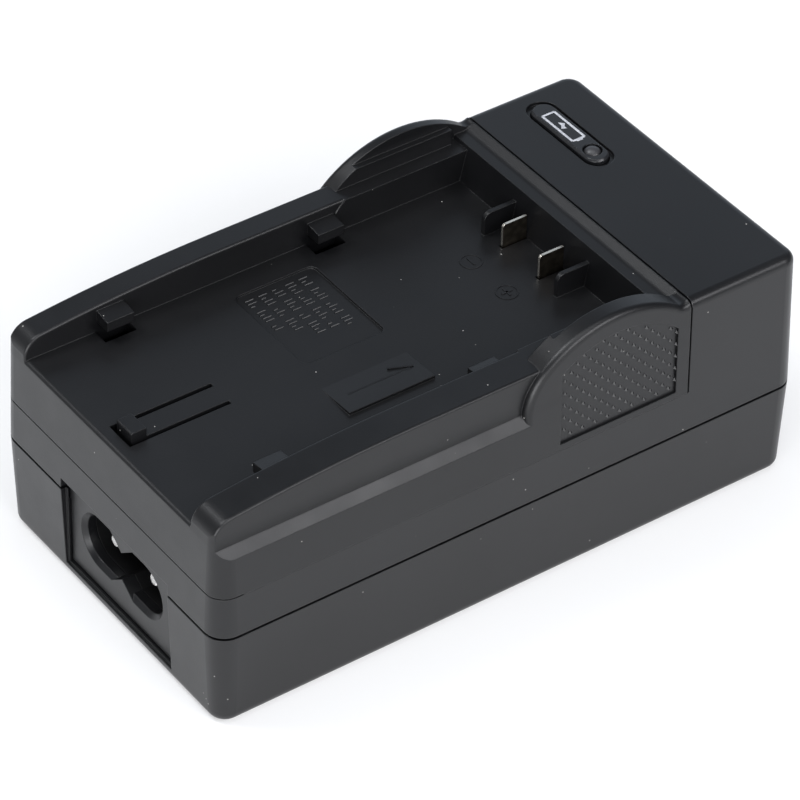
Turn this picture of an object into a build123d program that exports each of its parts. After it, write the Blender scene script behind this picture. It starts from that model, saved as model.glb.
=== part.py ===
from build123d import *
from math import cos, radians, sin, sqrt, tan
import os

# Camera battery charger: a two-part case with a mains inlet at one end and a tall head at the other,
# and a battery plate seated on the case in front of the head. Millimetres, +Z up.
# The origin is on the table under the middle of the case, the head is at +X and the inlet at -X.

os.makedirs("parts", exist_ok=True)

# Case outline at the main seam
case_length = 87.6
case_width = 48.0
corner_radius = 2.85
inner_corner = 0.6
draft_angle = 2.0
wall = 1.8
base_thickness = 1.8
bottom_edge_radius = 1.5

# Heights, stacked from the table up
lower_height = 14.05
band_height = 6.05
floor_rise = 8.05
tray_depth = 4.6
head_rise = 13.95
crest_rise = 4.3

# Seams between the mouldings
seam_groove = 0.4
lip_height = 1.6
lip_inset = 0.9
lip_fit = 0.1
plate_groove = 0.16
plate_groove_depth = 0.35
plate_groove_run = 1.0
head_gap = 0.25

# Head and its indicator
head_length = 17.6
head_edge_radius = 1.25
deck_thickness = 1.8
indicator_from_front = 8.4
indicator_from_side = 11.4
recess_length = 15.8
recess_width = 4.3
recess_depth = 0.45
window_length = 14.2
window_width = 3.4
window_proud = 0.3
window_chamfer = 0.25
window_flange = 1.0
window_flange_height = 1.2
window_fit = 0.1
lamp_diameter = 2.4
lamp_proud = 0.35
lamp_dome = 0.7
lamp_flange = 0.4
lamp_flange_height = 1.0
lamp_fit = 0.1
lamp_to_end = 2.4

# Battery tray in the plate
tray_width = 36.3
tray_y = 0.5
floor_thickness = 1.8
plate_wall = 2.2
rear_bar = 4.15
back_lean = 1.1
bar_drop = 0.75
bar_slope = 1.35
bar_round = 1.2
rim_fall = 1.5
rim_curve_length = 26.5
front_round = 2.9
step_depth = 1.2
step_rise = 5.85
plate_edge_radius = 0.35
floor_edge_round = 0.6
skin_margin = 0.05

# Arched cheeks
arch_radius = 16.5
arch_from_rear = 11.15
cheek_foot = 13.6
cheek_round = 0.9
cove_length = 1.65
tread_one = 1.95
tread_two = 0.85
riser_one = 2.25
grip_depth = 0.7
grip_margin = 2.6
grip_left = 8.5
grip_right = 9.3
grip_bottom = 0.9

# Ledge tabs that hold the battery down
tab_length = 3.9
tab_reach = 2.4
tab_tip = 1.4
tab_slope = 0.35
tab_from_rim = 1.4
tab_opening = 4.5
front_tab_x = 12.85
rear_tab_x = 44.0

# Spring tongue with its catch nub, moulded in the tray floor
tongue_y = 0.3
tongue_width = 3.25
tongue_length = 13.8
tongue_slot = 0.65
tongue_from_front = 2.35
nub_length = 2.1
nub_height = 1.2
nub_front = 1.08
nub_ramp = 0.12

# Sunk label panel and raised arrow panel on the tray floor, measured forward of the back wall
panel_depth = 0.3
panel_corner = 1.0
label_panel_x = 31.4
label_panel_y = 6.9
label_panel_length = 12.0
label_panel_width = 15.8
arrow_panel_x = 32.1
arrow_panel_y = -8.8
arrow_panel_length = 12.6
arrow_panel_width = 6.0
arrow_panel_rise = 0.4

# Contacts at the back of the tray
contact_middle = 0.75
contact_spacing = 7.65
blade_length = 3.7
blade_thickness = 0.35
blade_height = 3.45
blade_corner = 0.5
blade_fit = 0.2
blade_tail = 2.4
blade_foot = 0.8
rib_middle = 0.35
rib_spacing = 15.15
rib_length = 4.2
rib_thickness = 0.65
rib_height = 3.3
rib_corner = 1.1
spring_width = 2.4
spring_thickness = 0.5
spring_slot_fit = 0.3

# Mains inlet: tongue of the upper case, moulded cup and pins
inlet_y = -1.4
inlet_height = 9.45
notch_width = 23.6
notch_floor = 1.85
notch_step = 0.3
notch_step_depth = 0.75
tongue_gap = 0.25
tongue_recess = 1.1
tongue_wall = 1.8
recess_above_seam = 1.6
socket_width = 17.0
socket_height = 6.9
key_width = 3.4
key_depth = 1.3
socket_chamfer = 0.6
shroud_wall = 1.2
shroud_depth = 12.5
shroud_back = 2.0
pin_spacing = 8.6
pin_diameter = 2.4
pin_recess = 1.8
pin_tail = 3.0
pin_fit = 0.1
lead_width = 1.2

# Screws and their bosses
screw_x_front = 6.8
screw_x_rear = 3.2
screw_inset = 5.6
boss_diameter = 6.0
boss_height = 9.0
pillar_diameter = 5.4
screw_shank = 2.4
screw_head = 4.4
screw_head_height = 1.7
screw_recess = 1.6
screw_length = 12.0
screw_fit = 0.2

# Circuit board and its posts
board_height = 5.0
board_thickness = 1.6
board_edge = 0.7
board_front = 16.0
board_rear = 3.6
post_diameter = 4.0
post_pin = 1.6
post_fit = 0.2
post_inset = 3.2

# Parts on the board
core_width = 16.0
core_height = 15.0
core_depth = 5.0
core_leg = 4.0
core_end = 2.6
coil_wall = 3.2
coil_fit = 0.15
transformer_edge = 12.2
input_can = 8.0
input_can_height = 14.0
input_can_x = 7.0
input_can_edge = 5.6
output_can = 6.3
output_can_height = 10.5
output_can_x = 12.2
output_can_edge = 8.2
can_groove = 0.35
can_corner = 0.6
disc_diameter = 8.0
disc_thickness = 3.6
disc_x = -5.8
disc_y = -4.0
axial_lead = 0.7
resistor_diameter = 3.2
resistor_length = 9.0
resistor_from_front = 10.5
resistor_edge = 9.7
diode_diameter = 2.7
diode_length = 5.2
diode_x = 11.2
diode_edge = 8.2
axial_lift = 0.6
lead_reach = 2.0
bridge_length = 8.4
bridge_width = 6.4
bridge_height = 2.6
bridge_from_front = 9.0
bridge_edge = 9.7
drum_diameter = 8.0
drum_height = 9.0
drum_waist = 5.6
drum_flange = 1.4
drum_x = -4.8
drum_edge = 10.7
chip_length = 9.4
chip_width = 6.4
chip_height = 3.3
chip_x = 6.2
chip_y = 0.75
coupler_length = 4.6
coupler_x = 2.7
coupler_edge = 8.2
chip_standoff = 0.5
pin_pitch = 2.54
pin_thickness = 0.5
pin_reach = 0.8
spacer_wall = 0.9

# Levels and places worked out from the sizes above
seam_z = lower_height
plate_z = seam_z + band_height
floor_z = plate_z + floor_rise
rim_z = floor_z + tray_depth
head_z = plate_z + head_rise
crest_z = rim_z + crest_rise
rim_low = seam_z - seam_groove / 2
rim_high = seam_z + seam_groove / 2
deck_under = plate_z - deck_thickness
board_top = board_height + board_thickness
front_x = -case_length / 2
head_x = case_length / 2 - head_length
plate_rear_x = head_x - head_gap
back_wall_x = plate_rear_x - rear_bar
slope = tan(radians(draft_angle))
far = case_length


def drawn_in(z):
    """How far the draft brings the outer skin in at height z."""
    return abs(z - seam_z) * slope


def side_y(z):
    """Half width of the outer skin at height z."""
    return case_width / 2 - drawn_in(z)


def case_outline(z, inset):
    """Rounded outline of the case at height z, brought in by an inset."""
    shrink = inset + drawn_in(z)
    with BuildSketch(Plane.XY.offset(z)) as outline:
        RectangleRounded(
            case_length - 2 * shrink,
            case_width - 2 * shrink,
            max(corner_radius - shrink, inner_corner),
        )
    return outline.sketch


def drafted_block(bottom, top, inset=0.0):
    """Block that follows the drafted skin between two heights."""
    with BuildPart() as block:
        add(case_outline(bottom, inset))
        add(case_outline(top, inset))
        loft()
    return block.part


def tooth(end, half):
    """Corners of a pointed tooth that draws the inlet in at its middle, from past the edge inward."""
    spread = key_width / 2 * (key_depth + socket_chamfer) / key_depth
    return (
        (-spread, end * (half + socket_chamfer)),
        (spread, end * (half + socket_chamfer)),
        (0, end * (half - key_depth)),
    )


def socket_outline(x, grow, toothed=True):
    """Figure-8 outline of the inlet on the plane at x, grown by an offset, or its plain slot."""
    with BuildSketch(Plane.YZ.offset(x)) as outline:
        with Locations((inlet_y, inlet_height)):
            SlotOverall(socket_width + 2 * grow, socket_height + 2 * grow)
            if toothed:
                for end in (1, -1):
                    Polygon(*tooth(end, socket_height / 2 + grow), align=None, mode=Mode.SUBTRACT)
    return outline.sketch


# Places of the four case screws: two beside the inlet, two under the back of the plate
screw_y = case_width / 2 - screw_inset
screw_spots = [
    (x, y)
    for x in (front_x + screw_x_front, plate_rear_x - screw_x_rear)
    for y in (-screw_y, screw_y)
]

screw_seat = screw_recess + screw_head_height
screw_tip = screw_seat + screw_length

# Places of the four board posts, in from the board's corners
board_low_x = front_x + board_front
board_high_x = case_length / 2 - board_rear
board_half = side_y(board_height) - wall - board_edge
post_spots = [
    (x, y)
    for x in (board_low_x + post_inset, board_high_x - post_inset)
    for y in (-board_half + post_inset, board_half - post_inset)
]

# Indicator and contact places
indicator_x = head_x + indicator_from_front
indicator_y = case_width / 2 - indicator_from_side
ceiling_z = head_z - wall
window_top = head_z + window_proud
lamp_seat = ceiling_z - window_flange_height
lamp_y = indicator_y - window_length / 2 + lamp_to_end
spring_x = back_wall_x - blade_length / 2
blade_spots = [
    contact_middle - contact_spacing / 2,
    contact_middle + contact_spacing / 2,
]
blade_low = floor_z - floor_thickness - blade_tail

# Inlet places
tongue_x = front_x + tongue_recess
tongue_back = tongue_x + tongue_wall
tongue_half = notch_width / 2 - notch_step - tongue_gap
tongue_floor = notch_floor + notch_step + tongue_gap
shroud_end = tongue_back + shroud_depth
shroud_low = inlet_height - socket_height / 2 - shroud_wall
pin_tip_x = tongue_x + pin_recess
pin_end_x = shroud_end + pin_tail

# Lower case: open shell with a rebated rim, screw bosses, board posts and a saddle under the inlet cup
with BuildPart() as lower_case:
    add(drafted_block(0, rim_low))
    fillet(lower_case.faces().sort_by(Axis.Z)[0].edges(), bottom_edge_radius)
    add(drafted_block(base_thickness, rim_low, wall), mode=Mode.SUBTRACT)
    add(drafted_block(rim_low - lip_height, rim_low, lip_inset), mode=Mode.SUBTRACT)
    for step, depth in ((0, notch_step_depth), (notch_step, 2 * wall)):
        with BuildSketch(Plane.YZ.offset(front_x + depth)):
            with Locations((inlet_y, notch_floor + step)):
                Rectangle(notch_width - 2 * step, seam_z, align=(Align.CENTER, Align.MIN))
        extrude(amount=-3 * wall, mode=Mode.SUBTRACT)
    with BuildSketch(Plane.XY.offset(base_thickness)):
        with Locations(screw_spots):
            Circle(boss_diameter / 2)
    extrude(amount=boss_height - base_thickness)
    with BuildSketch(Plane.XY.offset(base_thickness)):
        with Locations(post_spots):
            Circle(post_diameter / 2)
    extrude(amount=board_height - base_thickness)
    with BuildSketch(Plane.XY.offset(board_height)):
        with Locations(post_spots):
            Circle(post_pin / 2)
    extrude(amount=board_thickness)
    with BuildSketch(Plane.XY.offset(base_thickness)):
        with Locations(((tongue_back + shroud_end) / 2, inlet_y)):
            Rectangle(wall, socket_width - socket_height)
    extrude(amount=shroud_low - base_thickness)
    with BuildSketch():
        with Locations(screw_spots):
            Circle(screw_head / 2 + screw_fit)
    extrude(amount=screw_seat, mode=Mode.SUBTRACT)
    with BuildSketch():
        with Locations(screw_spots):
            Circle(screw_shank / 2 + screw_fit)
    extrude(amount=boss_height, mode=Mode.SUBTRACT)

# Upper case: middle band with its deck, the head behind it and the inlet tongue hanging into the notch
with BuildPart() as upper_case:
    add(drafted_block(rim_high, head_z))
    fillet(upper_case.faces().sort_by(Axis.Z)[-1].edges(), head_edge_radius)
    with BuildSketch(Plane.XZ):
        with Locations((head_x, plate_z)):
            Rectangle(2 * far, far, align=(Align.MAX, Align.MIN))
    extrude(amount=case_width, both=True, mode=Mode.SUBTRACT)
    add(drafted_block(rim_high, deck_under, wall), mode=Mode.SUBTRACT)
    for z in (deck_under, head_z - wall):
        with BuildSketch(Plane.XY.offset(z)):
            with Locations((head_x + wall, 0)):
                Rectangle(
                    head_length - 2 * wall - drawn_in(z),
                    2 * (side_y(z) - wall),
                    align=(Align.MIN, Align.CENTER),
                )
    loft(mode=Mode.SUBTRACT)
    add(drafted_block(rim_low - lip_height, rim_high, lip_inset + lip_fit))
    add(drafted_block(rim_low - lip_height, rim_high, wall), mode=Mode.SUBTRACT)
    with BuildSketch(Plane.YZ.offset(tongue_x)):
        with Locations((inlet_y, seam_z + recess_above_seam)):
            Rectangle(notch_width, seam_z, align=(Align.CENTER, Align.MAX))
    extrude(amount=-2 * tongue_recess, mode=Mode.SUBTRACT)
    with BuildSketch(Plane.YZ.offset(tongue_x)):
        with Locations((inlet_y, tongue_floor)):
            Rectangle(2 * tongue_half, rim_high - tongue_floor, align=(Align.CENTER, Align.MIN))
        with Locations((inlet_y, rim_high)):
            Rectangle(notch_width, deck_under - rim_high, align=(Align.CENTER, Align.MIN))
    extrude(amount=tongue_wall)
    extrude(socket_outline(tongue_x, 0), amount=tongue_wall, mode=Mode.SUBTRACT)
    add(socket_outline(tongue_x, socket_chamfer, toothed=False))
    add(socket_outline(tongue_x + socket_chamfer, 0, toothed=False))
    loft(mode=Mode.SUBTRACT)
    with BuildSketch(Plane.YZ.offset(tongue_x)):
        with Locations((inlet_y, inlet_height)):
            for end in (1, -1):
                Polygon(*tooth(end, socket_height / 2), align=None)
    extrude(amount=tongue_wall)
    with BuildSketch(Plane.XY.offset(boss_height)):
        with Locations(screw_spots):
            Circle(pillar_diameter / 2)
    extrude(amount=deck_under - boss_height)
    with BuildSketch(Plane.XY.offset(boss_height)):
        with Locations(screw_spots):
            Circle(screw_shank / 2 + screw_fit)
    extrude(amount=screw_tip - boss_height + screw_fit, mode=Mode.SUBTRACT)
    with BuildSketch(Plane.XY.offset(head_z)):
        with Locations((indicator_x, indicator_y)):
            SlotOverall(recess_length, recess_width, rotation=90)
    extrude(amount=-recess_depth, mode=Mode.SUBTRACT)
    with BuildSketch(Plane.XY.offset(head_z)):
        with Locations((indicator_x, indicator_y)):
            SlotOverall(window_length + 2 * window_fit, window_width + 2 * window_fit, rotation=90)
    extrude(amount=-2 * wall, mode=Mode.SUBTRACT)
    with BuildSketch(Plane.XY.offset(plate_z)):
        with Locations([(spring_x, y) for y in blade_spots]):
            Rectangle(
                spring_thickness + 2 * spring_slot_fit,
                spring_width + 2 * spring_slot_fit,
            )
    extrude(amount=-2 * deck_thickness, mode=Mode.SUBTRACT)

# One cheek of the plate, drawn on the drafted side face: local x runs along the case, local y up the face
face_z = floor_z
arch_x = plate_rear_x - arch_from_rear
arch_low = crest_z - arch_radius
step_z = plate_z + step_rise


def arch_height(x, radius):
    """Height of the arch, or of a line beside it, at x along the case."""
    return arch_low + sqrt(radius**2 - (x - arch_x) ** 2)


def side_plane(side):
    """Drafted side face of the plate, with the normal outward and local y up the face."""
    return Plane(
        origin=(0, side * side_y(face_z), face_z),
        x_dir=(-side, 0, 0),
        z_dir=(0, side * cos(radians(draft_angle)), sin(radians(draft_angle))),
    )


def tray_side(side, out=0.0):
    """Inner face of a tray wall, or a line a little further out."""
    return tray_y + side * (tray_width / 2 + out)


def cheek(side):
    """Ear with a round outer edge, from the outer face in to the tray wall."""
    reach = sqrt(arch_radius**2 - (rim_z - arch_low) ** 2)
    start_x = arch_x - reach
    foot_x = arch_x - cheek_foot
    cove_x = plate_rear_x - cove_length
    cove_z = arch_height(cove_x, arch_radius)

    def spot(x, z):
        return (-side * x, z - face_z)

    def heading(x, z):
        return (-side * x, z)

    with BuildPart() as ear:
        with BuildSketch(side_plane(side)):
            with BuildLine():
                foot = TangentArc(
                    spot(start_x, rim_z),
                    spot(foot_x, step_z),
                    tangent=heading(-(rim_z - arch_low), -reach),
                )
                down = foot % 1
                leg = (step_z - plate_z - wall) / abs(down.Y)
                base = foot @ 1 + down * leg
                Line(foot @ 1, base)
                corner = Vector(spot(plate_rear_x, plate_z + wall))
                Line(base, (corner.X, base.Y))
                rear = Line((corner.X, base.Y), spot(plate_rear_x, head_z))
                cove = TangentArc(
                    spot(cove_x, cove_z),
                    rear @ 1,
                    tangent=heading(cove_z - arch_low, -(cove_x - arch_x)),
                )
                ThreePointArc(spot(start_x, rim_z), spot(arch_x, crest_z), cove @ 0)
            make_face()
        extrude(amount=side * tray_side(side) - side_y(face_z))
        outer = ear.faces().sort_by(Axis.Y)[-1 if side > 0 else 0]
        keep = outer.edges().sort_by(Axis.Z)[0]
        back = outer.edges().sort_by(Axis.X)[-1]
        round_edges = [e for e in outer.edges() if e not in (keep, back)]
        fillet(round_edges, cheek_round)
    return ear.part


def grip_outline(side):
    """Grip patch on the cheek: straight foot and sides under a line that follows the arch."""
    inner = arch_radius - grip_margin
    low = plate_z + grip_bottom
    left = arch_x - grip_left
    right = arch_x + grip_right

    def spot(x, z):
        return (-side * x, z - face_z)

    with BuildSketch(side_plane(side)) as outline:
        with BuildLine():
            Polyline(
                spot(left, arch_height(left, inner)),
                spot(left, low),
                spot(right, low),
                spot(right, arch_height(right, inner)),
            )
            ThreePointArc(
                spot(right, arch_height(right, inner)),
                spot(arch_x, arch_height(arch_x, inner)),
                spot(left, arch_height(left, inner)),
            )
        make_face()
    return outline.sketch


def shadow_line():
    """Groove round the front foot of the plate that leaves a thin dark line over the band."""
    with BuildPart() as ring:
        with BuildSketch(Plane.XY.offset(plate_z)):
            with Locations((front_x + corner_radius + plate_groove_run, 0)):
                Rectangle(case_length, 2 * case_width, align=(Align.MAX, Align.CENTER))
        extrude(amount=plate_groove)
        add(
            drafted_block(plate_z, plate_z + plate_groove, plate_groove_depth),
            mode=Mode.SUBTRACT,
        )
    return ring.part


def tray_walls():
    """Tray with its two walls: rims that fall towards the open front and run round into the end face."""
    low_z = rim_z - rim_fall
    outer_y = side_y(step_z) - step_depth
    with BuildPart() as tray:
        with BuildSketch(Plane.XZ) as side_view:
            with BuildLine():
                end_x = front_x - skin_margin
                rim_x = end_x + drawn_in(low_z) + front_round
                rim = TangentArc((rim_x + rim_curve_length, rim_z), (rim_x, low_z), tangent=(-1, 0))
                lip = rim % 1
                tip = rim @ 1 + lip * (front_round / (lip.Y * slope - lip.X))
                Polyline(
                    rim @ 1,
                    tip,
                    (end_x + drawn_in(plate_z), plate_z),
                    (plate_rear_x, plate_z),
                    (plate_rear_x, rim_z),
                    rim @ 0,
                )
            make_face()
            fillet(side_view.vertices().sort_by_distance((tip.X, tip.Y, 0))[0], front_round)
        extrude(amount=outer_y, both=True)
        # Room for the battery, with the front edge of the floor rounded over
        with BuildSketch(Plane.XZ.offset(-tray_y)):
            with BuildLine():
                edge_x = front_x + drawn_in(floor_z)
                over = TangentArc(
                    (edge_x + floor_edge_round, floor_z),
                    (edge_x - 2 * skin_margin, floor_z - floor_edge_round),
                    tangent=(-1, 0),
                )
                Polyline(
                    over @ 1,
                    (-far, floor_z - floor_edge_round),
                    (-far, far),
                    (far, far),
                    (far, floor_z),
                    over @ 0,
                )
            make_face()
        extrude(amount=tray_width / 2, both=True, mode=Mode.SUBTRACT)
        rims = tray.faces().filter_by(Axis.Z).sort_by(Axis.Z)[-2:].edges().filter_by(Axis.X)
        fillet(rims, plate_edge_radius)
        # Wide foot of the walls, up to the step along the outside
        for side in (1, -1):
            with BuildSketch(Plane.YZ.offset(front_x - wall)):
                Polygon(
                    (tray_side(side), plate_z),
                    (side * case_width, plate_z),
                    (side * case_width, step_z),
                    (side * side_y(step_z), step_z),
                    (side * outer_y, step_z + step_depth),
                    (side * outer_y, floor_z),
                    (tray_side(side), floor_z),
                    align=None,
                )
        extrude(amount=plate_rear_x - front_x + wall)
    return tray.part


# Battery plate: tray with stepped side walls, arched cheeks, ledge tabs, spring tongue and guide ribs
with BuildPart() as battery_plate:
    add(drafted_block(plate_z, crest_z))
    add(tray_walls(), mode=Mode.INTERSECT)
    for side in (1, -1):
        add(cheek(side))
    # Two treads up the inside of each cheek, and the place of the rear bar behind them
    tread_top = tread_one + tread_two
    for low, rear_x, out in (
        (rim_z, back_wall_x, tread_one),
        (rim_z + riser_one, back_wall_x, tread_top),
        (rim_z, plate_rear_x, 0),
    ):
        with BuildSketch(Plane.XZ.offset(-tray_y)):
            with Locations((rear_x, low)):
                Rectangle(far, far, align=(Align.MAX, Align.MIN))
        extrude(amount=tray_width / 2 + out, both=True, mode=Mode.SUBTRACT)
    with BuildSketch(Plane.XZ.offset(-tray_y)):
        with Locations((plate_rear_x, rim_z)):
            Rectangle(rear_bar, far, align=(Align.MAX, Align.MIN))
    extrude(amount=tray_width / 2 + tread_top, both=True, mode=Mode.SUBTRACT)
    # Rear bar: leaning back wall, level top and the slope that meets the head
    with BuildSketch(Plane.XZ.offset(-tray_y)):
        with BuildLine():
            top = FilletPolyline(
                (back_wall_x + back_lean, head_z - bar_drop),
                (plate_rear_x - bar_slope, head_z - bar_drop),
                (plate_rear_x, head_z),
                radius=bar_round,
            )
            Polyline(
                top @ 1,
                (plate_rear_x, floor_z),
                (back_wall_x, floor_z),
                top @ 0,
            )
        make_face()
    extrude(amount=tray_width / 2 + tread_top, both=True)
    # Grip patches
    for side in (1, -1):
        extrude(grip_outline(side), amount=-grip_depth, mode=Mode.SUBTRACT)
    # Hollow underside and the thin line over the band at the front
    add(drafted_block(plate_z, floor_z - floor_thickness, plate_wall), mode=Mode.SUBTRACT)
    with BuildSketch(Plane.XZ):
        with Locations((plate_rear_x, plate_z)):
            Rectangle(plate_wall, floor_rise - floor_thickness, align=(Align.MAX, Align.MIN))
    extrude(amount=side_y(floor_z) - plate_wall, both=True)
    add(shadow_line(), mode=Mode.SUBTRACT)
    # Spring tongue cut free on three sides, and its nub
    slot_x = front_x + tongue_from_front
    with BuildSketch(Plane.XY.offset(floor_z)):
        with Locations((slot_x, tongue_y)):
            Rectangle(
                tongue_length + tongue_slot,
                tongue_width + 2 * tongue_slot,
                align=(Align.MIN, Align.CENTER),
            )
        with Locations((slot_x + tongue_slot, tongue_y)):
            Rectangle(
                2 * tongue_length,
                tongue_width,
                align=(Align.MIN, Align.CENTER),
                mode=Mode.SUBTRACT,
            )
    extrude(amount=-2 * floor_thickness, mode=Mode.SUBTRACT)
    with BuildSketch(Plane.XZ.offset(-tongue_y)):
        with Locations((slot_x + tongue_slot, floor_z)):
            Polygon(
                (0, 0),
                (nub_length, 0),
                (nub_length, nub_height),
                (nub_ramp, nub_height),
                (0, nub_front),
                align=None,
            )
    extrude(amount=tongue_width / 2, both=True)
    # Sunk label panel, and the arrow panel that rises towards the near wall
    with BuildSketch(Plane.XY.offset(floor_z)):
        with Locations((back_wall_x - label_panel_x, label_panel_y)):
            RectangleRounded(label_panel_length, label_panel_width, panel_corner)
    extrude(amount=-panel_depth, mode=Mode.SUBTRACT)
    with BuildSketch(Plane.YZ.offset(back_wall_x - arrow_panel_x - arrow_panel_length / 2)):
        with Locations((arrow_panel_y, floor_z)):
            Polygon(
                (-arrow_panel_width / 2, 0),
                (arrow_panel_width / 2, 0),
                (-arrow_panel_width / 2, arrow_panel_rise),
                align=None,
            )
    extrude(amount=arrow_panel_length)
    # Ledge tabs
    tab_top = rim_z - tab_from_rim
    for side in (1, -1):
        for tab_x in (front_tab_x, rear_tab_x):
            with BuildSketch(Plane.YZ.offset(front_x + tab_x - tab_length / 2)):
                Polygon(
                    (tray_side(side, tread_one / 2), tab_top),
                    (tray_side(side), tab_top),
                    (tray_side(side, -tab_reach), tab_top - tab_slope),
                    (tray_side(side, -tab_reach), tab_top - tab_slope - tab_tip),
                    (tray_side(side, tread_one / 2), tab_top - tab_slope - tab_tip),
                    align=None,
                )
            extrude(amount=tab_length)
            # Opening in the floor under the tab
            with BuildSketch(Plane.XY.offset(floor_z)):
                with Locations((front_x + tab_x, tray_side(side, -tab_reach / 2))):
                    Rectangle(tab_opening, tab_reach)
            extrude(amount=-2 * floor_thickness, mode=Mode.SUBTRACT)
    # Guide ribs beside the contacts
    for end in (1, -1):
        with BuildSketch(Plane.XZ.offset(-(rib_middle + end * rib_spacing / 2))):
            with BuildLine():
                FilletPolyline(
                    (back_wall_x + back_lean, floor_z + rib_height),
                    (back_wall_x - rib_length, floor_z + rib_height),
                    (back_wall_x - rib_length, floor_z),
                    radius=rib_corner,
                )
                Polyline(
                    (back_wall_x - rib_length, floor_z),
                    (back_wall_x + back_lean, floor_z),
                    (back_wall_x + back_lean, floor_z + rib_height),
                )
            make_face()
        extrude(amount=rib_thickness / 2, both=True)
    # Slots for the contact blades
    with BuildSketch(Plane.XY.offset(floor_z)):
        with Locations([(back_wall_x + blade_fit, y) for y in blade_spots]):
            Rectangle(
                blade_length + 2 * blade_fit,
                blade_thickness + 2 * blade_fit,
                align=(Align.MAX, Align.CENTER),
            )
    extrude(amount=-2 * floor_thickness, mode=Mode.SUBTRACT)

# Contact blades: stamped strips standing in the floor slots, each with a flat foot for its spring
blades = []
for blade_y in blade_spots:
    with BuildPart() as blade:
        with BuildSketch(Plane.XZ.offset(-blade_y)):
            with BuildLine():
                FilletPolyline(
                    (back_wall_x, floor_z + blade_height),
                    (back_wall_x - blade_length, floor_z + blade_height),
                    (back_wall_x - blade_length, blade_low),
                    radius=blade_corner,
                )
                Polyline(
                    (back_wall_x - blade_length, blade_low),
                    (back_wall_x, blade_low),
                    (back_wall_x, floor_z + blade_height),
                )
            make_face()
        extrude(amount=blade_thickness / 2, both=True)
        with BuildSketch(Plane.XY.offset(blade_low)):
            with Locations((spring_x, blade_y)):
                Rectangle(blade_length, spring_width)
        extrude(amount=-blade_foot)
    blades.append(blade)
contact_blade_positive, contact_blade_negative = blades

# Contact springs: bent strips from the board through the deck to the feet of the blades
springs = []
for blade_y in blade_spots:
    with BuildPart() as spring:
        with BuildSketch(Plane.XZ.offset(-blade_y)):
            with BuildLine():
                top = blade_low - blade_foot - spring_thickness / 2
                FilletPolyline(
                    (spring_x, board_top),
                    (spring_x, top),
                    (spring_x + blade_length / 2, top),
                    radius=2 * spring_thickness,
                )
            trace(line_width=spring_thickness)
        extrude(amount=spring_width / 2, both=True)
    springs.append(spring)
contact_spring_positive, contact_spring_negative = springs

# Indicator window: gloss insert with a flange under the head's top and a hole for the lamp
with BuildPart() as indicator_window:
    with BuildSketch(Plane.XY.offset(ceiling_z)):
        with Locations((indicator_x, indicator_y)):
            SlotOverall(window_length, window_width, rotation=90)
    extrude(amount=window_top - ceiling_z)
    chamfer(indicator_window.faces().sort_by(Axis.Z)[-1].edges(), window_chamfer)
    with BuildSketch(Plane.XY.offset(ceiling_z)):
        with Locations((indicator_x, indicator_y)):
            SlotOverall(
                window_length + 2 * window_flange,
                window_width + 2 * window_flange,
                rotation=90,
            )
    extrude(amount=-window_flange_height)
    with BuildSketch(Plane.XY.offset(window_top)):
        with Locations((indicator_x, lamp_y)):
            Circle(lamp_diameter / 2 + lamp_fit)
    extrude(amount=lamp_seat - window_top, mode=Mode.SUBTRACT)

# Lamp: round-topped body with a flange under the window and two legs down to the board
with BuildPart() as led:
    with BuildSketch(Plane.XZ.offset(-lamp_y)):
        radius = lamp_diameter / 2
        with BuildLine():
            apex = window_top + lamp_proud
            dome = RadiusArc(
                (indicator_x, apex),
                (indicator_x + radius, apex - lamp_dome),
                (radius**2 + lamp_dome**2) / (2 * lamp_dome),
            )
            Polyline(
                dome @ 0,
                (indicator_x, lamp_seat - lamp_flange_height),
                (indicator_x + radius + lamp_flange, lamp_seat - lamp_flange_height),
                (indicator_x + radius + lamp_flange, lamp_seat),
                (indicator_x + radius, lamp_seat),
                dome @ 1,
            )
        make_face()
    revolve(axis=Axis((indicator_x, lamp_y, 0), (0, 0, 1)))
    with BuildSketch(Plane.XY.offset(board_top)):
        with Locations((indicator_x, lamp_y - lead_width / 2), (indicator_x, lamp_y + lead_width / 2)):
            Rectangle(pin_thickness, pin_thickness)
    extrude(amount=lamp_seat - lamp_flange_height - board_top)

# Spacer tube that stands on the board and carries the lamp
with BuildPart() as led_spacer:
    with BuildSketch(Plane.XY.offset(board_top)):
        with Locations((indicator_x, lamp_y)):
            Circle(lead_width / 2 + pin_thickness + spacer_wall)
            Circle(lead_width / 2 + pin_thickness, mode=Mode.SUBTRACT)
    extrude(amount=lamp_seat - lamp_flange_height - board_top)

# Inlet cup behind the tongue, closed at the back around the two pins
pin_spots = [inlet_y - pin_spacing / 2, inlet_y + pin_spacing / 2]
with BuildPart() as inlet_shroud:
    extrude(socket_outline(tongue_back, shroud_wall), amount=shroud_depth)
    extrude(
        socket_outline(tongue_back, 0),
        amount=shroud_depth - shroud_back,
        mode=Mode.SUBTRACT,
    )
    with BuildSketch(Plane.YZ.offset(shroud_end)):
        with Locations([(y, inlet_height) for y in pin_spots]):
            Circle(pin_diameter / 2 + pin_fit)
    extrude(amount=-shroud_back, mode=Mode.SUBTRACT)

# Inlet pins: turned pins with a flat lead bent down to the board
pins = []
for pin_y in pin_spots:
    with BuildPart() as pin:
        with BuildSketch(Plane.YZ.offset(pin_tip_x)):
            with Locations((pin_y, inlet_height)):
                Circle(pin_diameter / 2)
        extrude(amount=pin_end_x - pin_tip_x)
        chamfer(pin.faces().sort_by(Axis.X)[0].edges(), pin_diameter / 5)
        with BuildSketch(Plane.XY.offset(board_top)):
            with Locations((pin_end_x - lead_width / 2, pin_y)):
                Rectangle(lead_width, lead_width)
        extrude(amount=inlet_height - board_top)
    pins.append(pin)
inlet_pin_line, inlet_pin_neutral = pins

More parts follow.
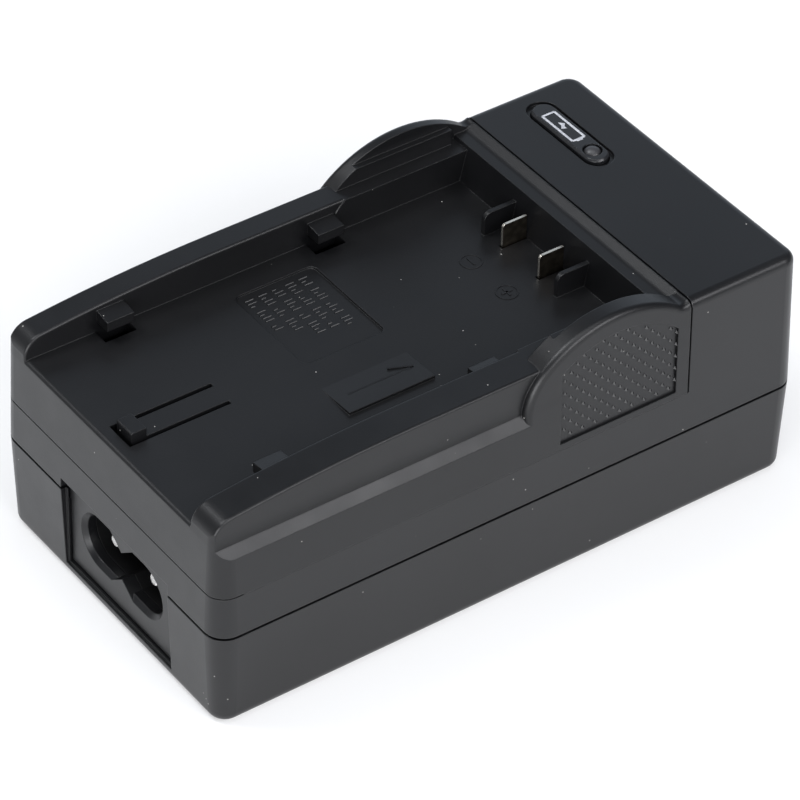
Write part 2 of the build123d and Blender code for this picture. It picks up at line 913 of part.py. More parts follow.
# Circuit board on the four posts, cut round the rear screw bosses
with BuildPart() as circuit_board:
    with BuildSketch(Plane.XY.offset(board_height)):
        with Locations((board_low_x, 0)):
            Rectangle(
                board_high_x - board_low_x,
                2 * board_half,
                align=(Align.MIN, Align.CENTER),
            )
        with Locations(post_spots):
            Circle(post_pin / 2 + post_fit, mode=Mode.SUBTRACT)
        with Locations(screw_spots[2:]):
            Circle(boss_diameter / 2 + board_edge, mode=Mode.SUBTRACT)
    extrude(amount=board_thickness)


def can(diameter, height, x, y):
    """Electrolytic capacitor: round-topped can with a crimped groove near its foot."""
    with BuildPart() as body:
        with BuildSketch(Plane.XY.offset(board_top)):
            with Locations((x, y)):
                Circle(diameter / 2)
        extrude(amount=height)
        chamfer(body.faces().sort_by(Axis.Z)[-1].edges(), can_corner)
        with BuildSketch(Plane.XY.offset(board_top + 2 * can_corner)):
            with Locations((x, y)):
                Circle(diameter)
                Circle(diameter / 2 - can_groove, mode=Mode.SUBTRACT)
        extrude(amount=can_corner, mode=Mode.SUBTRACT)
    return body


def axial(diameter, length, x, y):
    """Axial part lying along the case, with both leads bent down to the board."""
    middle = board_top + axial_lift + diameter / 2
    with BuildPart() as body:
        with BuildSketch(Plane.YZ.offset(x - length / 2)):
            with Locations((y, middle)):
                Circle(diameter / 2)
        extrude(amount=length)
        chamfer(body.edges().filter_by(GeomType.CIRCLE), diameter / 6)
        with BuildSketch(Plane.XZ.offset(-y)):
            with BuildLine():
                Polyline(
                    (x - length / 2 - lead_reach, board_top),
                    (x - length / 2 - lead_reach, middle),
                    (x + length / 2 + lead_reach, middle),
                    (x + length / 2 + lead_reach, board_top),
                )
            trace(line_width=axial_lead)
        extrude(amount=axial_lead / 2, both=True)
    return body


def chip(length, width, height, x, y, legs):
    """Moulded package raised off the board on two rows of legs."""
    with BuildPart() as body:
        with BuildSketch(Plane.XY.offset(board_top + chip_standoff)):
            with Locations((x, y)):
                Rectangle(length, width)
        extrude(amount=height)
        with BuildSketch(Plane.XY.offset(board_top)):
            for end in (1, -1):
                row = GridLocations(pin_pitch, 1, legs, 1)
                for leg in row:
                    with Locations((x + leg.position.X, y + end * width / 2)):
                        Rectangle(pin_thickness, 2 * pin_reach)
        extrude(amount=chip_standoff + height / 2)
    return body


# Transformer: ferrite core with two windows, and the wound bobbin round its middle leg
core_x = indicator_x
transformer_y = transformer_edge - board_half
core_window = (core_width - 2 * core_end - core_leg) / 2
core_gap = core_height - 2 * core_end
with BuildPart() as transformer_core:
    with BuildSketch(Plane.YZ.offset(core_x)):
        with Locations((transformer_y, board_top + core_height / 2)):
            Rectangle(core_width, core_height)
            with GridLocations(core_leg + core_window, 1, 2, 1):
                Rectangle(core_window, core_gap, mode=Mode.SUBTRACT)
    extrude(amount=core_depth / 2, both=True)
with BuildPart() as transformer_bobbin:
    with BuildSketch(Plane.XY.offset(board_top + core_end + coil_fit)):
        with Locations((core_x, transformer_y)):
            RectangleRounded(
                core_depth + 2 * coil_wall,
                core_leg + 2 * (core_window - coil_fit),
                coil_wall / 2,
            )
            Rectangle(core_depth + 2 * coil_fit, core_leg + 2 * coil_fit, mode=Mode.SUBTRACT)
    extrude(amount=core_gap - 2 * coil_fit)

# Parts along the board, from the inlet towards the head
resistor_x = board_low_x + resistor_from_front
bridge_x = board_low_x + bridge_from_front
fusible_resistor = axial(resistor_diameter, resistor_length, resistor_x, resistor_edge - board_half)
bridge_rectifier = chip(
    bridge_length, bridge_width, bridge_height, bridge_x, board_half - bridge_edge, 2
)
optocoupler = chip(
    coupler_length, chip_width, chip_height, coupler_x, coupler_edge - board_half, 2
)
controller_chip = chip(chip_length, chip_width, chip_height, chip_x, chip_y, 3)
output_capacitor = can(output_can, output_can_height, output_can_x, output_can_edge - board_half)
output_diode = axial(diode_diameter, diode_length, diode_x, board_half - diode_edge)
input_capacitor = can(
    input_can, input_can_height, head_x + input_can_x, board_half - input_can_edge
)

# Filter choke: wound drum standing on the board
drum_y = board_half - drum_edge
with BuildPart() as filter_inductor:
    with BuildSketch(Plane.XZ.offset(-drum_y)):
        with Locations((drum_x, board_top)):
            Polygon(
                (0, 0),
                (drum_diameter / 2, 0),
                (drum_diameter / 2, drum_flange),
                (drum_waist / 2, drum_flange),
                (drum_waist / 2, drum_height - drum_flange),
                (drum_diameter / 2, drum_height - drum_flange),
                (drum_diameter / 2, drum_height),
                (0, drum_height),
                align=None,
            )
    revolve(axis=Axis((drum_x, drum_y, 0), (0, 0, 1)))

# Safety capacitor: round disc standing on two leads
disc_z = board_top + axial_lift + disc_diameter / 2
with BuildPart() as safety_capacitor:
    with BuildSketch(Plane.XZ.offset(-disc_y)):
        with Locations((disc_x, disc_z)):
            Circle(disc_diameter / 2)
    extrude(amount=disc_thickness / 2, both=True)
    chamfer(safety_capacitor.edges().filter_by(GeomType.CIRCLE), disc_thickness / 4)
    with BuildSketch(Plane.XY.offset(board_top)):
        with Locations((disc_x, disc_y)):
            with GridLocations(disc_diameter / 2, 1, 2, 1):
                Rectangle(axial_lead, axial_lead)
    extrude(amount=disc_diameter / 2)

# Case screws: four pan heads sunk in the base
with BuildPart() as case_screws:
    with BuildSketch(Plane.XY.offset(screw_recess)):
        with Locations(screw_spots):
            Circle(screw_head / 2)
    extrude(amount=screw_head_height)
    with BuildSketch(Plane.XY.offset(screw_seat)):
        with Locations(screw_spots):
            Circle(screw_shank / 2)
    extrude(amount=screw_length)

pieces = {
    "lower_case": lower_case,
    "upper_case": upper_case,
    "battery_plate": battery_plate,
    "contact_blade_positive": contact_blade_positive,
    "contact_blade_negative": contact_blade_negative,
    "contact_spring_positive": contact_spring_positive,
    "contact_spring_negative": contact_spring_negative,
    "indicator_window": indicator_window,
    "led": led,
    "led_spacer": led_spacer,
    "inlet_shroud": inlet_shroud,
    "inlet_pin_line": inlet_pin_line,
    "inlet_pin_neutral": inlet_pin_neutral,
    "circuit_board": circuit_board,
    "transformer_core": transformer_core,
    "transformer_bobbin": transformer_bobbin,
    "input_capacitor": input_capacitor,
    "output_capacitor": output_capacitor,
    "safety_capacitor": safety_capacitor,
    "fusible_resistor": fusible_resistor,
    "bridge_rectifier": bridge_rectifier,
    "filter_inductor": filter_inductor,
    "controller_chip": controller_chip,
    "optocoupler": optocoupler,
    "output_diode": output_diode,
    "case_screws": case_screws,
}
for name, piece in pieces.items():
    piece.part.label = name
    export_step(piece.part, f"parts/{name}.step")
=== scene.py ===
import math

import bmesh
import bpy
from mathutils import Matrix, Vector


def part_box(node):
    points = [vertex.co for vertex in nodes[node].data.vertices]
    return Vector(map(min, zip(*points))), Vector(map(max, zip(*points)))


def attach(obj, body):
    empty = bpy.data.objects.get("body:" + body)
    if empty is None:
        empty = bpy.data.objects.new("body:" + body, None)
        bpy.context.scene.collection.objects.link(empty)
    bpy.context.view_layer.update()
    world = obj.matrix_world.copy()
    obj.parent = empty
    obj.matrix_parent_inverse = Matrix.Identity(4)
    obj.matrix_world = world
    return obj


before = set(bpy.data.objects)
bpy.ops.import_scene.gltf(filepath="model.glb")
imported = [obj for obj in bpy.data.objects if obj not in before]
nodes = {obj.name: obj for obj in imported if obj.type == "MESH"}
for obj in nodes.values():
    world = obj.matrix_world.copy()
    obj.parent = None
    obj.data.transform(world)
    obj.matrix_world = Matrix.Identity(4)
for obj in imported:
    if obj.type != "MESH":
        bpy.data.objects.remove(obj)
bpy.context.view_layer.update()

# Lower case: the tray-shaped bottom shell.
# Injection moulded in black ABS with a fine spark-eroded satin skin, and drafted in towards the table.
# Four screws from below hold it to the upper case.


class Term:
    """A socket in a node tree. Sums on it add Math nodes, and node() adds any other node."""

    def __init__(self, tree, socket=None):
        self.tree = tree
        self.socket = socket

    def node(self, kind, settings={}, sockets={}, out=0):
        made = self.tree.nodes.new("ShaderNode" + kind)
        for key, value in settings.items():
            setattr(made, key, value)
        for key, value in sockets.items():
            if isinstance(value, Term):
                self.tree.links.new(value.socket, made.inputs[key])
            elif hasattr(value, "__len__") and made.inputs[key].type == "RGBA":
                made.inputs[key].default_value = (*value, 1.0)
            else:
                made.inputs[key].default_value = value
        return Term(self.tree, made.outputs[out] if made.outputs else None)

    def reckon(self, operation, first, second=0.0):
        return self.node("Math", {"operation": operation}, {0: first, 1: second})

    def __add__(self, other):
        return self.reckon("ADD", self, other)

    def __radd__(self, other):
        return self.reckon("ADD", other, self)

    def __sub__(self, other):
        return self.reckon("SUBTRACT", self, other)

    def __rsub__(self, other):
        return self.reckon("SUBTRACT", other, self)

    def __mul__(self, other):
        return self.reckon("MULTIPLY", self, other)

    def __rmul__(self, other):
        return self.reckon("MULTIPLY", other, self)

    def between(self, low, high):
        """0 below low, 1 above high and smooth between them."""
        return self.node(
            "MapRange",
            {"interpolation_type": "SMOOTHSTEP"},
            {"Value": self, "From Min": low, "From Max": high},
        )

    def blend(self, low, high):
        """Colour that goes from low to high as this value goes from 0 to 1."""
        return self.node("Mix", {"data_type": "RGBA"}, {"Factor": self, 6: low, 7: high}, out=2)


def new_finish(name):
    """An empty material and a term to lay its nodes from."""
    material = bpy.data.materials.new(name)
    material.use_nodes = True
    material.node_tree.nodes.clear()
    return material, Term(material.node_tree)


def dress(piece, material):
    """Give a piece one finish all over."""
    piece.data.materials.clear()
    piece.data.materials.append(material)


def moulded_black(name, dark, light, sheen, grain, dust_size=0.035, edge=0.00018, mirror=0.45, rubbed=None):
    """Black ABS: eroded grain, slow changes of tone and sheen, softened edges and a little dust.

    A height given as rubbed is a level floor, which is duller than the rest.
    """
    material, lay = new_finish(name)
    place = lay.node("TexCoord", out=3)
    cloud = lay.node("TexNoise", {}, {"Vector": place, "Scale": 42.0, "Detail": 4.0})
    rub = lay.node("TexNoise", {}, {"Vector": place, "Scale": 170.0, "Detail": 3.0, "Roughness": 0.6})
    skin = lay.node("TexNoise", {}, {"Vector": place, "Scale": 5200.0, "Detail": 2.0})
    speck = lay.node("TexVoronoi", {}, {"Vector": place, "Scale": 330.0})
    dust = 1.0 - speck.between(dust_size * 0.6, dust_size)
    tone = cloud.between(0.3, 0.7).blend(dark, light)
    soft_edge = lay.node("Bevel", {"samples": 8}, {"Radius": edge})
    bump = lay.node(
        "Bump",
        {},
        {"Strength": grain, "Distance": 0.00002, "Height": skin, "Normal": soft_edge},
    )
    gloss = sheen + (rub - 0.5) * 0.16 + dust * 0.3
    if rubbed:
        height = lay.node("SeparateXYZ", {}, {0: place}, out=2)
        off_floor = lay.reckon("ABSOLUTE", height - rubbed).between(0.0004, 0.0009)
        gloss = gloss + (1.0 - off_floor) * 0.05
    shader = lay.node(
        "BsdfPrincipled",
        {},
        {
            "Base Color": dust.blend(tone, (0.36, 0.35, 0.33)),
            "Roughness": gloss,
            "Specular IOR Level": mirror,
            "Normal": bump,
        },
    )
    lay.node("OutputMaterial", {}, {"Surface": shader})
    return material


lower_black = moulded_black("lower_black", (0.0036, 0.0036, 0.0041), (0.0052, 0.0052, 0.0059), 0.34, 0.35)
dress(nodes["lower_case"], lower_black)

# Upper case: the middle band, the tall head and the tongue that carries the mains inlet.
# One ABS moulding in the same black as the lower case, with a slightly finer grain.
# Its lip drops inside the lower case's rim, and the joint shows as a groove all round.
upper_black = moulded_black("upper_black", (0.0036, 0.0037, 0.0043), (0.0051, 0.0052, 0.0060), 0.34, 0.32)
dress(nodes["upper_case"], upper_black)

# Battery plate: the cradle that the battery slides into, seated on the deck of the upper case.
# ABS again, moulded as one with its walls, cheeks, tabs and spring tongue.
# The tray floor is duller where batteries rub. Small relief on the plate keeps sharper edges.
tray_floor = 0.02815
plate_colours = (0.0034, 0.0035, 0.0040), (0.0049, 0.0050, 0.0057)
plate_black = moulded_black("plate_black", *plate_colours, 0.36, 0.38, mirror=0.41, rubbed=tray_floor)
relief_black = moulded_black("relief_black", *plate_colours, 0.36, 0.2, 0.03, 0.00003, mirror=0.41)
dress(nodes["battery_plate"], plate_black)

# Grip patches: a field of small pointed studs sunk in each cheek, for the fingers.
# Moulded with the plate, in its ABS. Each is a pad on the floor of the cheek's sunk patch.
# The studs stand in a diamond lattice, and each is a lopsided pyramid.
seam_height, half_width, draft = 0.01405, 0.024, math.radians(2.0)
grip_left, grip_right, grip_low = 0.0063, 0.0241, 0.0210
arch_middle, arch_low, arch_line = 0.0148, 0.02055, 0.0139
grip_sunk, pad_sunk, pad_gap = 0.0007, 0.00033, 0.00002
column_step, row_step = 0.000945, 0.00183
last_column, first_row = 0.00003, 0.00085
stud_left, stud_right, stud_up, stud_down = 0.00026, 0.00036, 0.00046, 0.00016
stud_height, stud_root = 0.00033, 0.00002
arch_steps = 24


def built(name, mesh_data, material):
    """A finished mesh as a piece that rides with the body."""
    bmesh.ops.recalc_face_normals(mesh_data, faces=mesh_data.faces)
    mesh = bpy.data.meshes.new(name)
    mesh_data.to_mesh(mesh)
    mesh_data.free()
    piece = bpy.data.objects.new(name, mesh)
    bpy.context.scene.collection.objects.link(piece)
    dress(piece, material)
    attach(piece, "root")


def skirt(mesh, low_ring, high_ring):
    """Side faces between two rings with the same number of corners, and a face to close each ring."""
    for a in range(len(low_ring)):
        b = (a + 1) % len(low_ring)
        mesh.faces.new((low_ring[a], low_ring[b], high_ring[b], high_ring[a]))
    mesh.faces.new(low_ring[::-1])
    mesh.faces.new(high_ring)


def arch_over(x, drop):
    """Height at x of a line that follows the arch, a little inside it."""
    return arch_low + math.sqrt((arch_line - drop) ** 2 - (x - arch_middle) ** 2)


def on_cheek(side, x, z, sunk):
    """Point on a cheek's drafted face, or a little way into it."""
    outward = Vector((0, side * math.cos(draft), math.sin(draft)))
    skin_y = side * (half_width - (z - seam_height) * math.tan(draft))
    return Vector((x, skin_y, z)) - outward * sunk


for side, grip_name in ((-1, "grip_near"), (1, "grip_far")):
    pad = bmesh.new()
    left, right, low = grip_left + pad_gap, grip_right - pad_gap, grip_low + pad_gap
    outline = [(left, low), (right, low)]
    for step in range(arch_steps + 1):
        x = right + (left - right) * step / arch_steps
        outline.append((x, arch_over(x, pad_gap)))
    foot = [pad.verts.new(on_cheek(side, x, z, grip_sunk)) for x, z in outline]
    face = [pad.verts.new(on_cheek(side, x, z, pad_sunk)) for x, z in outline]
    skirt(pad, foot, face)
    column = 0
    x = right - last_column
    while x > left + stud_left:
        z = low + first_row + row_step / 2 * ((column + 1) % 2)
        reach = min(stud_right, right - x)
        while z < arch_over(x, stud_up):
            ring = ((reach, 0), (0, stud_up), (-stud_left, 0), (0, -stud_down))
            base = [pad.verts.new(on_cheek(side, x + dx, z + dz, pad_sunk + stud_root)) for dx, dz in ring]
            tip = pad.verts.new(on_cheek(side, x, z, pad_sunk - stud_height))
            for a in range(len(base)):
                pad.faces.new((base[a], base[(a + 1) % len(base)], tip))
            pad.faces.new(base[::-1])
            z += row_step
        x -= column_step
        column += 1
    built(grip_name, pad, relief_black)

# Label marks: rows of plain raised bars in the sunk panel on the tray floor.
# Moulded with the plate, in its ABS. Each bar has sloping sides, as relief cut in a mould has.
# In a row's strokes, 1 is a short bar, 2 a long one and a space is a gap.
label_strokes = (
    "212 2122 1212 221",
    "2212 122 2121 12",
    "122 2212 12 2212",
    "2122 121 2212",
    "221 2122 12",
)
label_start_x, label_start_y = -0.0066, 0.0136
label_row_step, stroke_step = 0.0020, 0.00066
stroke_length, stroke_width, stroke_height = 0.00062, 0.00030, 0.00010
label_floor = tray_floor - 0.0003


def raised_bar(mesh, start, end, width, low, height, lean=0.4):
    """Straight bar on the floor from start to end. Lean is the width of its top as a share of its foot's."""
    start, end = Vector((*start, low)), Vector((*end, low))
    across = (end - start).normalized().cross(Vector((0, 0, 1))) * width / 2
    rise = Vector((0, 0, height))
    foot = (start - across, end - across, end + across, start + across)
    top = (start - across * lean, end - across * lean, end + across * lean, start + across * lean)
    foot_ring = [mesh.verts.new(corner) for corner in foot]
    top_ring = [mesh.verts.new(corner + rise) for corner in top]
    skirt(mesh, foot_ring, top_ring)


label_bars = bmesh.new()
for row, strokes in enumerate(label_strokes):
    bar_x = label_start_x - label_row_step * row
    for spot, stroke in enumerate(strokes):
        if stroke != " ":
            bar_y = label_start_y - stroke_step * spot
            bar_end = bar_x + stroke_length * int(stroke)
            raised_bar(label_bars, (bar_x, bar_y), (bar_end, bar_y), stroke_width, label_floor, stroke_height)
built("label_bars", label_bars, relief_black)

# Arrow: shows which way the battery slides in, on the sloping panel beside the label.
# Three bars moulded with the plate, in its ABS. The barb nearer the label stands higher than the rest.
arrow_tip, arrow_width, arrow_low, arrow_lean = (-0.0050, -0.0086), 0.00030, tray_floor + 0.00012, 0.95
arrow_tails = (
    ((-0.0079, -0.0073), 0.0002),
    ((-0.0079, -0.0099), 0.0001),
    ((-0.0146, -0.0086), 0.0001),
)
arrow = bmesh.new()
for tail, rise in arrow_tails:
    raised_bar(arrow, tail, arrow_tip, arrow_width, arrow_low, rise, arrow_lean)
built("arrow_sign", arrow, relief_black)

# Pole signs: a minus and a plus, each in a ring, in front of the contact blades.
# Moulded with the plate, in its ABS, as low steep-sided relief.
pole_spots = (
    ((0.01315, 0.00427), ((0, 1),)),
    ((0.01317, -0.00319), ((0, 1), (1, 0))),
)
ring_radius, ring_width, ring_rise, ring_turns = 0.0014, 0.00026, 0.00007, 24
pole_half, pole_width, pole_rise, pole_lean = 0.0008, 0.00034, 0.00008, 0.85
poles = bmesh.new()
for (pole_x, pole_y), strokes in pole_spots:
    for turn in range(ring_turns):
        ends = [
            (pole_x + ring_radius * math.cos(angle), pole_y + ring_radius * math.sin(angle))
            for angle in (turn * math.tau / ring_turns, (turn + 1) * math.tau / ring_turns)
        ]
        raised_bar(poles, *ends, ring_width, tray_floor, ring_rise, pole_lean)
    for along_x, along_y in strokes:
        ends = [(pole_x + s * along_x * pole_half, pole_y + s * along_y * pole_half) for s in (-1, 1)]
        raised_bar(poles, *ends, pole_width, tray_floor, pole_rise, pole_lean)
built("pole_signs", poles, relief_black)

# Contact blades: two strips at the back of the tray that reach into the battery's slots.
# Stamped from plated copper alloy and pushed up through slits in the tray floor.
# Their colour goes by which way each face points: the edges are nearly white, a painted highlight, and the
# flat faces a mottled brown.
blade_plate, lay = new_finish("blade_plate")
place = lay.node("TexCoord", out=3)
facing = lay.node("SeparateXYZ", {}, {0: lay.node("NewGeometry", out=1)}, out=1)
# Mask of the faces turned to the sides. Everything else, edges and tops, gets the near-white painted
# highlight colour.
flat_face_unglinted = lay.reckon("ABSOLUTE", facing).between(0.55, 0.8)
stain = lay.node("TexNoise", {}, {"Vector": place, "Scale": 1100.0, "Detail": 4.0})
brown = stain.between(0.35, 0.7).blend((0.085, 0.074, 0.058), (0.13, 0.113, 0.088))
shader = lay.node(
    "BsdfPrincipled",
    {},
    {
        "Metallic": 1.0,
        "Base Color": flat_face_unglinted.blend((0.92, 0.87, 0.77), brown),
        "Roughness": 0.2 + flat_face_unglinted * 0.14 + stain * 0.1,
    },
)
lay.node("OutputMaterial", {}, {"Surface": shader})
for blade in ("contact_blade_positive", "contact_blade_negative"):
    dress(nodes[blade], blade_plate)

# Inlet pins: the two round pins of the figure-8 mains inlet.
# Turned from brass, bright nickel plated, and pressed into the back of the inlet cup.
pin_nickel, lay = new_finish("pin_nickel")
place = lay.node("TexCoord", out=3)
brushed = lay.node("Mapping", {}, {"Vector": place, "Scale": (300.0, 300.0, 9000.0)})
lines = lay.node("TexNoise", {}, {"Vector": brushed, "Scale": 1.0, "Detail": 3.0})
stain = lay.node("TexNoise", {}, {"Vector": place, "Scale": 900.0, "Detail": 4.0})
worn = stain.between(0.4, 0.68)
soft_edge = lay.node("Bevel", {"samples": 8}, {"Radius": 0.00012})
bump = lay.node("Bump", {}, {"Strength": 0.2, "Distance": 0.00001, "Height": lines, "Normal": soft_edge})
shader = lay.node(
    "BsdfPrincipled",
    {},
    {
        "Metallic": 1.0,
        "Base Color": worn.blend((0.95, 0.94, 0.92), (0.88, 0.87, 0.84)),
        "Roughness": 0.22 + (lines - 0.5) * 0.12 + worn * 0.1,
        "Normal": bump,
    },
)
lay.node("OutputMaterial", {}, {"Surface": shader})
for pin in ("inlet_pin_line", "inlet_pin_neutral"):
    dress(nodes[pin], pin_nickel)

# Inlet cup: the deep figure-8 socket behind the tongue, seen only through its opening.
# A matt black moulding, held between the back of the tongue and a saddle in the lower case. Its black is
# darker than the case's, partly painted shade for the deep socket.
# Half as light as the case's black: the moulding's matt black, with painted shade for the depth of the
# socket.
inlet_black = moulded_black(
    "inlet_black", (0.0018, 0.0018, 0.0020), (0.0026, 0.0026, 0.0029), 0.6, 0.4, 0.03, mirror=0.2
)
dress(nodes["inlet_shroud"], inlet_black)

# Indicator window: a smoked gloss insert on the head, moulded in clear plastic with a dark tint.
# It is pushed in from below, and its flange stops it under the head's top.
window_smoke, lay = new_finish("window_smoke")
place = lay.node("TexCoord", out=3)
haze = lay.node("TexNoise", {}, {"Vector": place, "Scale": 300.0, "Detail": 4.0})
speck = lay.node("TexVoronoi", {}, {"Vector": place, "Scale": 420.0})
dust = 1.0 - speck.between(0.02, 0.04)
smoke = haze.blend((0.0070, 0.0074, 0.0085), (0.0105, 0.0110, 0.0125))
soft_edge = lay.node("Bevel", {"samples": 8}, {"Radius": 0.00015})
shader = lay.node(
    "BsdfPrincipled",
    {},
    {
        "Base Color": dust.blend(smoke, (0.3, 0.3, 0.3)),
        "Roughness": 0.2 + haze * 0.14,
        "Normal": soft_edge,
    },
)
lay.node("OutputMaterial", {}, {"Surface": shader})
dress(nodes["indicator_window"], window_smoke)

# Window sign: a battery with a bolt in it, beside the lamp.
# Printed on the window in pale grey ink, which stands a hair above the plastic.
window_x, window_top, ink = 0.0346, 0.03435, 0.00003
battery_half, battery_near, battery_away, battery_line = 0.00095, 0.0108, 0.0172, 0.00034
knob_near, knob_away, knob_width = 0.0004, 0.0001, 0.0009
bolt = (
    (0.00012, 0.0026),
    (-0.00055, 0.0029),
    (-0.0001, 0.0035),
    (-0.00012, 0.0042),
    (0.00055, 0.0036),
    (0.0001, 0.0031),
)
sign_paint, lay = new_finish("sign_paint")
place = lay.node("TexCoord", out=3)
wear = lay.node("TexNoise", {}, {"Vector": place, "Scale": 2600.0, "Detail": 3.0})
shader = lay.node(
    "BsdfPrincipled",
    {},
    {
        "Base Color": wear.between(0.35, 0.65).blend((0.40, 0.41, 0.44), (0.54, 0.55, 0.58)),
        "Roughness": 0.45 + wear * 0.1,
    },
)
lay.node("OutputMaterial", {}, {"Surface": shader})
sign = bmesh.new()
left, right = window_x - battery_half, window_x + battery_half
corners = ((left, battery_near), (right, battery_near), (right, battery_away), (left, battery_away))
for a, b in zip(corners, corners[1:] + corners[:1]):
    raised_bar(sign, a, b, battery_line, window_top, ink)
knob = (window_x, battery_near - knob_near), (window_x, battery_near - knob_away)
raised_bar(sign, *knob, knob_width, window_top, ink)
low_ring = [sign.verts.new((window_x + x, battery_near + y, window_top)) for x, y in bolt]
top_ring = [sign.verts.new((window_x + x, battery_near + y, window_top + ink)) for x, y in bolt]
skirt(sign, low_ring, top_ring)
built("window_sign", sign, sign_paint)

# Lamp: the round light in the end of the window.
# A dome of diffused grey resin, held up from the board by its spacer. Its colour darkens towards its rim, a
# painted shade ring.
lamp_low, lamp_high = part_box("led")
lamp_axis = ((lamp_low[0] + lamp_high[0]) / 2, (lamp_low[1] + lamp_high[1]) / 2, 0.0)
lamp_resin, lay = new_finish("lamp_resin")
place = lay.node("TexCoord", out=3)
from_axis = lay.node("VectorMath", {"operation": "SUBTRACT"}, {0: place, 1: lamp_axis})
level = lay.node("VectorMath", {"operation": "MULTIPLY"}, {0: from_axis, 1: (1.0, 1.0, 0.0)})
radius = lay.node("VectorMath", {"operation": "LENGTH"}, {0: level}, out=1)
mottle = lay.node("TexNoise", {}, {"Vector": place, "Scale": 1800.0, "Detail": 3.0})
# Base colour darkens with distance from the lamp's axis: painted shade round the dome's rim.
shader = lay.node(
    "BsdfPrincipled",
    {},
    {
        "Base Color": radius.between(0.0006, 0.00125).blend((0.036, 0.036, 0.039), (0.010, 0.010, 0.011)),
        "Roughness": 0.34 + mottle * 0.1,
    },
)
lay.node("OutputMaterial", {}, {"Surface": shader})
dress(nodes["led"], lamp_resin)

# Pieces inside the closed case: the board and what is soldered to it, and the springs to the blades.
# Laminate, ferrite, wound tape, sleeved cans, moulded resin and spring bronze, each as on the bench.
# The board rests on posts in the lower case, and everything else stands on the board.


def bench_finish(name, low, high, sheen, scale, metal=0.0):
    """A mottled finish with a fine bump, between two colours."""
    material, lay = new_finish(name)
    place = lay.node("TexCoord", out=3)
    mottle = lay.node("TexNoise", {}, {"Vector": place, "Scale": scale, "Detail": 4.0})
    bump = lay.node("Bump", {}, {"Strength": 0.2, "Distance": 0.00002, "Height": mottle})
    shader = lay.node(
        "BsdfPrincipled",
        {},
        {
            "Metallic": metal,
            "Base Color": mottle.between(0.35, 0.65).blend(low, high),
            "Roughness": sheen + (mottle - 0.5) * 0.2,
            "Normal": bump,
        },
    )
    lay.node("OutputMaterial", {}, {"Surface": shader})
    return material


ferrite = bench_finish("ferrite_grey", (0.035, 0.035, 0.038), (0.06, 0.06, 0.064), 0.6, 2200.0)
sleeve = bench_finish("can_sleeve", (0.012, 0.014, 0.03), (0.018, 0.02, 0.04), 0.3, 500.0)
resin = bench_finish("chip_resin", (0.012, 0.012, 0.012), (0.02, 0.02, 0.02), 0.55, 3000.0)
bronze = bench_finish("spring_bronze", (0.55, 0.36, 0.17), (0.66, 0.45, 0.24), 0.3, 900.0, 1.0)
laminate = bench_finish("board_laminate", (0.36, 0.22, 0.07), (0.46, 0.3, 0.11), 0.5, 1400.0)
coil_tape = bench_finish("coil_tape", (0.62, 0.44, 0.06), (0.72, 0.54, 0.1), 0.28, 400.0)
disc_resin = bench_finish("disc_resin", (0.04, 0.12, 0.36), (0.07, 0.18, 0.46), 0.4, 700.0)
resistor_paint = bench_finish("resistor_paint", (0.2, 0.32, 0.4), (0.27, 0.4, 0.48), 0.45, 900.0)
coupler_resin = bench_finish("coupler_resin", (0.66, 0.65, 0.6), (0.76, 0.75, 0.7), 0.5, 1500.0)
inside = {
    "circuit_board": laminate,
    "transformer_core": ferrite,
    "filter_inductor": ferrite,
    "transformer_bobbin": coil_tape,
    "input_capacitor": sleeve,
    "output_capacitor": sleeve,
    "safety_capacitor": disc_resin,
    "fusible_resistor": resistor_paint,
    "bridge_rectifier": resin,
    "controller_chip": resin,
    "output_diode": resin,
    "optocoupler": coupler_resin,
    "contact_spring_positive": bronze,
    "contact_spring_negative": bronze,
    "led_spacer": inlet_black,
}
for name, material in inside.items():
    dress(nodes[name], material)

# Case screws: four pan heads sunk in the base.
# Blackened steel, driven up through the lower case into the pillars of the upper case.
screw_black = bench_finish("screw_black", (0.09, 0.09, 0.095), (0.16, 0.16, 0.165), 0.35, 1500.0, 1.0)
dress(nodes["case_screws"], screw_black)

# Floor: a wide round of white paper under the charger.
# Part of it glows to the camera and in reflections, so that it stays white round the soft shadow.
floor_radius, camera_glow, mirror_glow = 4.0, 0.4, 0.2
floor_mesh = bmesh.new()
bmesh.ops.create_circle(floor_mesh, cap_ends=True, radius=floor_radius, segments=64)
floor_data = bpy.data.meshes.new("floor")
floor_mesh.to_mesh(floor_data)
floor_mesh.free()
floor = bpy.data.objects.new("floor", floor_data)
bpy.context.scene.collection.objects.link(floor)
floor_white, lay = new_finish("floor_white")
seen, mirrored, through = (lay.node("LightPath", out=kind) for kind in (0, 3, 6))
lit = lay.node("BsdfDiffuse", {}, {"Color": (0.97, 0.97, 0.97)})
glow = lay.node("Emission", {}, {"Color": (1.0, 1.0, 1.0), "Strength": 1.0})
share = seen * camera_glow + (mirrored + through) * mirror_glow
sweep = lay.node("MixShader", {}, {0: share, 1: lit, 2: glow})
lay.node("OutputMaterial", {}, {"Surface": sweep})
dress(floor, floor_white)

# Lights: seven soft boxes, one above, three in front and three behind, in a dim grey room.
# The front ones draw the bright lines on the long side's edges and the arch.
# The back ones lie on the level faces, so that these read as satin and not as flat black.
aim = Vector((0, 0, 0.02))


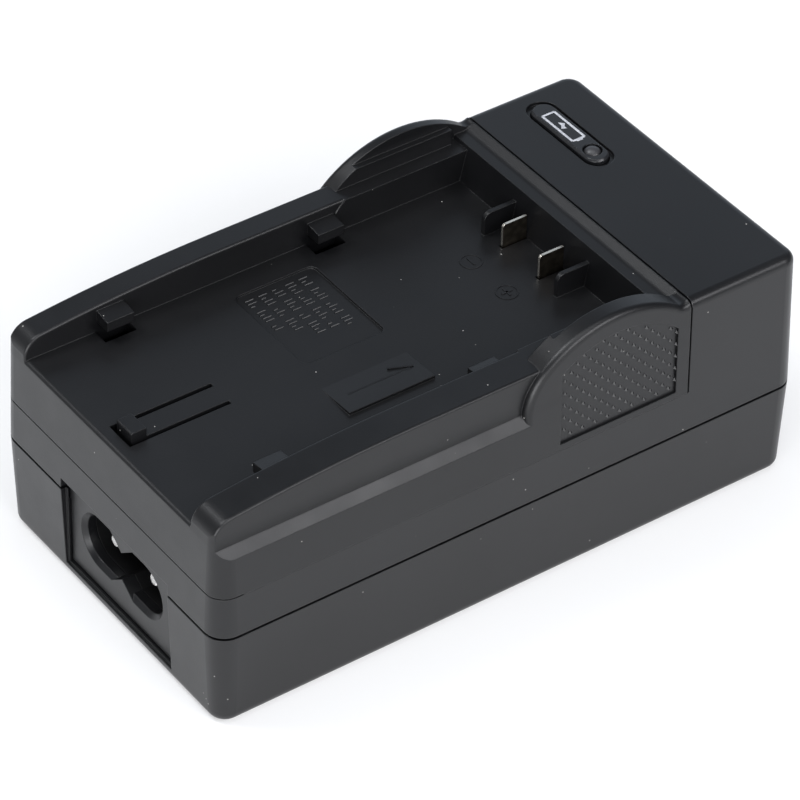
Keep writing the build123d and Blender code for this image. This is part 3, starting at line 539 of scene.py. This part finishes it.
def softbox(name, place, width, height, power, colour, aim=aim):
    """A flat soft light at a place, turned to face its aim."""
    lamp = bpy.data.lights.new(name, "AREA")
    lamp.shape = "RECTANGLE"
    lamp.size = width
    lamp.size_y = height
    lamp.energy = power
    lamp.color = colour
    box = bpy.data.objects.new(name, lamp)
    box.location = place
    box.rotation_euler = (aim - Vector(place)).to_track_quat("-Z", "Y").to_euler()
    bpy.context.scene.collection.objects.link(box)


softbox("overhead", (-0.10, -0.10, 1.0), 0.75, 0.75, 3.5, (0.95, 0.97, 1.0))
softbox("front_window", (0.14, -0.74, 0.60), 0.90, 0.36, 6.6, (0.97, 0.97, 1.0))
softbox("front_card", (-0.20, -0.95, 0.15), 1.60, 0.30, 1.8, (1.0, 1.0, 1.0), Vector((0, 0, 0.10)))
softbox("left_strip", (-0.70, -0.55, 0.25), 0.60, 0.48, 6.2, (0.97, 0.98, 1.0), Vector((0, 0, 0.12)))
softbox("back_right", (0.59, 0.80, 0.38), 1.20, 0.70, 1.7, (0.76, 0.87, 1.0))
softbox("back_left", (-0.57, 0.80, 0.38), 0.90, 0.70, 0.5, (1.0, 1.0, 1.0))
softbox("back_high", (-0.36, 0.36, 0.86), 0.30, 0.30, 3.4, (0.95, 0.97, 1.0))

world = bpy.data.worlds.new("studio")
bpy.context.scene.world = world
world.use_nodes = True
world.node_tree.nodes.clear()
lay = Term(world.node_tree)
seen = lay.node("LightPath", out=0)
room = lay.node("Background", {}, {"Color": (0.16, 0.17, 0.19), "Strength": 1.0})
backdrop = lay.node("Background", {}, {"Color": (1.0, 1.0, 1.0), "Strength": 1.0})
both = lay.node("MixShader", {}, {0: seen, 1: room, 2: backdrop})
lay.node("OutputWorld", {}, {"Surface": both})

# Camera: a long lens that looks down on the corner beside the mains inlet.
# Its place and turn were fitted to the case's edges as the photograph shows them.
lens = bpy.data.cameras.new("camera")
lens.sensor_width = 36.0
lens.lens = 203.62
camera = bpy.data.objects.new("camera", lens)
camera.location = (-0.258507, -0.349713, 0.374231)
camera.rotation_euler = (0.879881, -0.019493, -0.619548)
bpy.context.scene.collection.objects.link(camera)
bpy.context.scene.camera = camera
bpy.context.scene.view_settings.view_transform = "Standard"
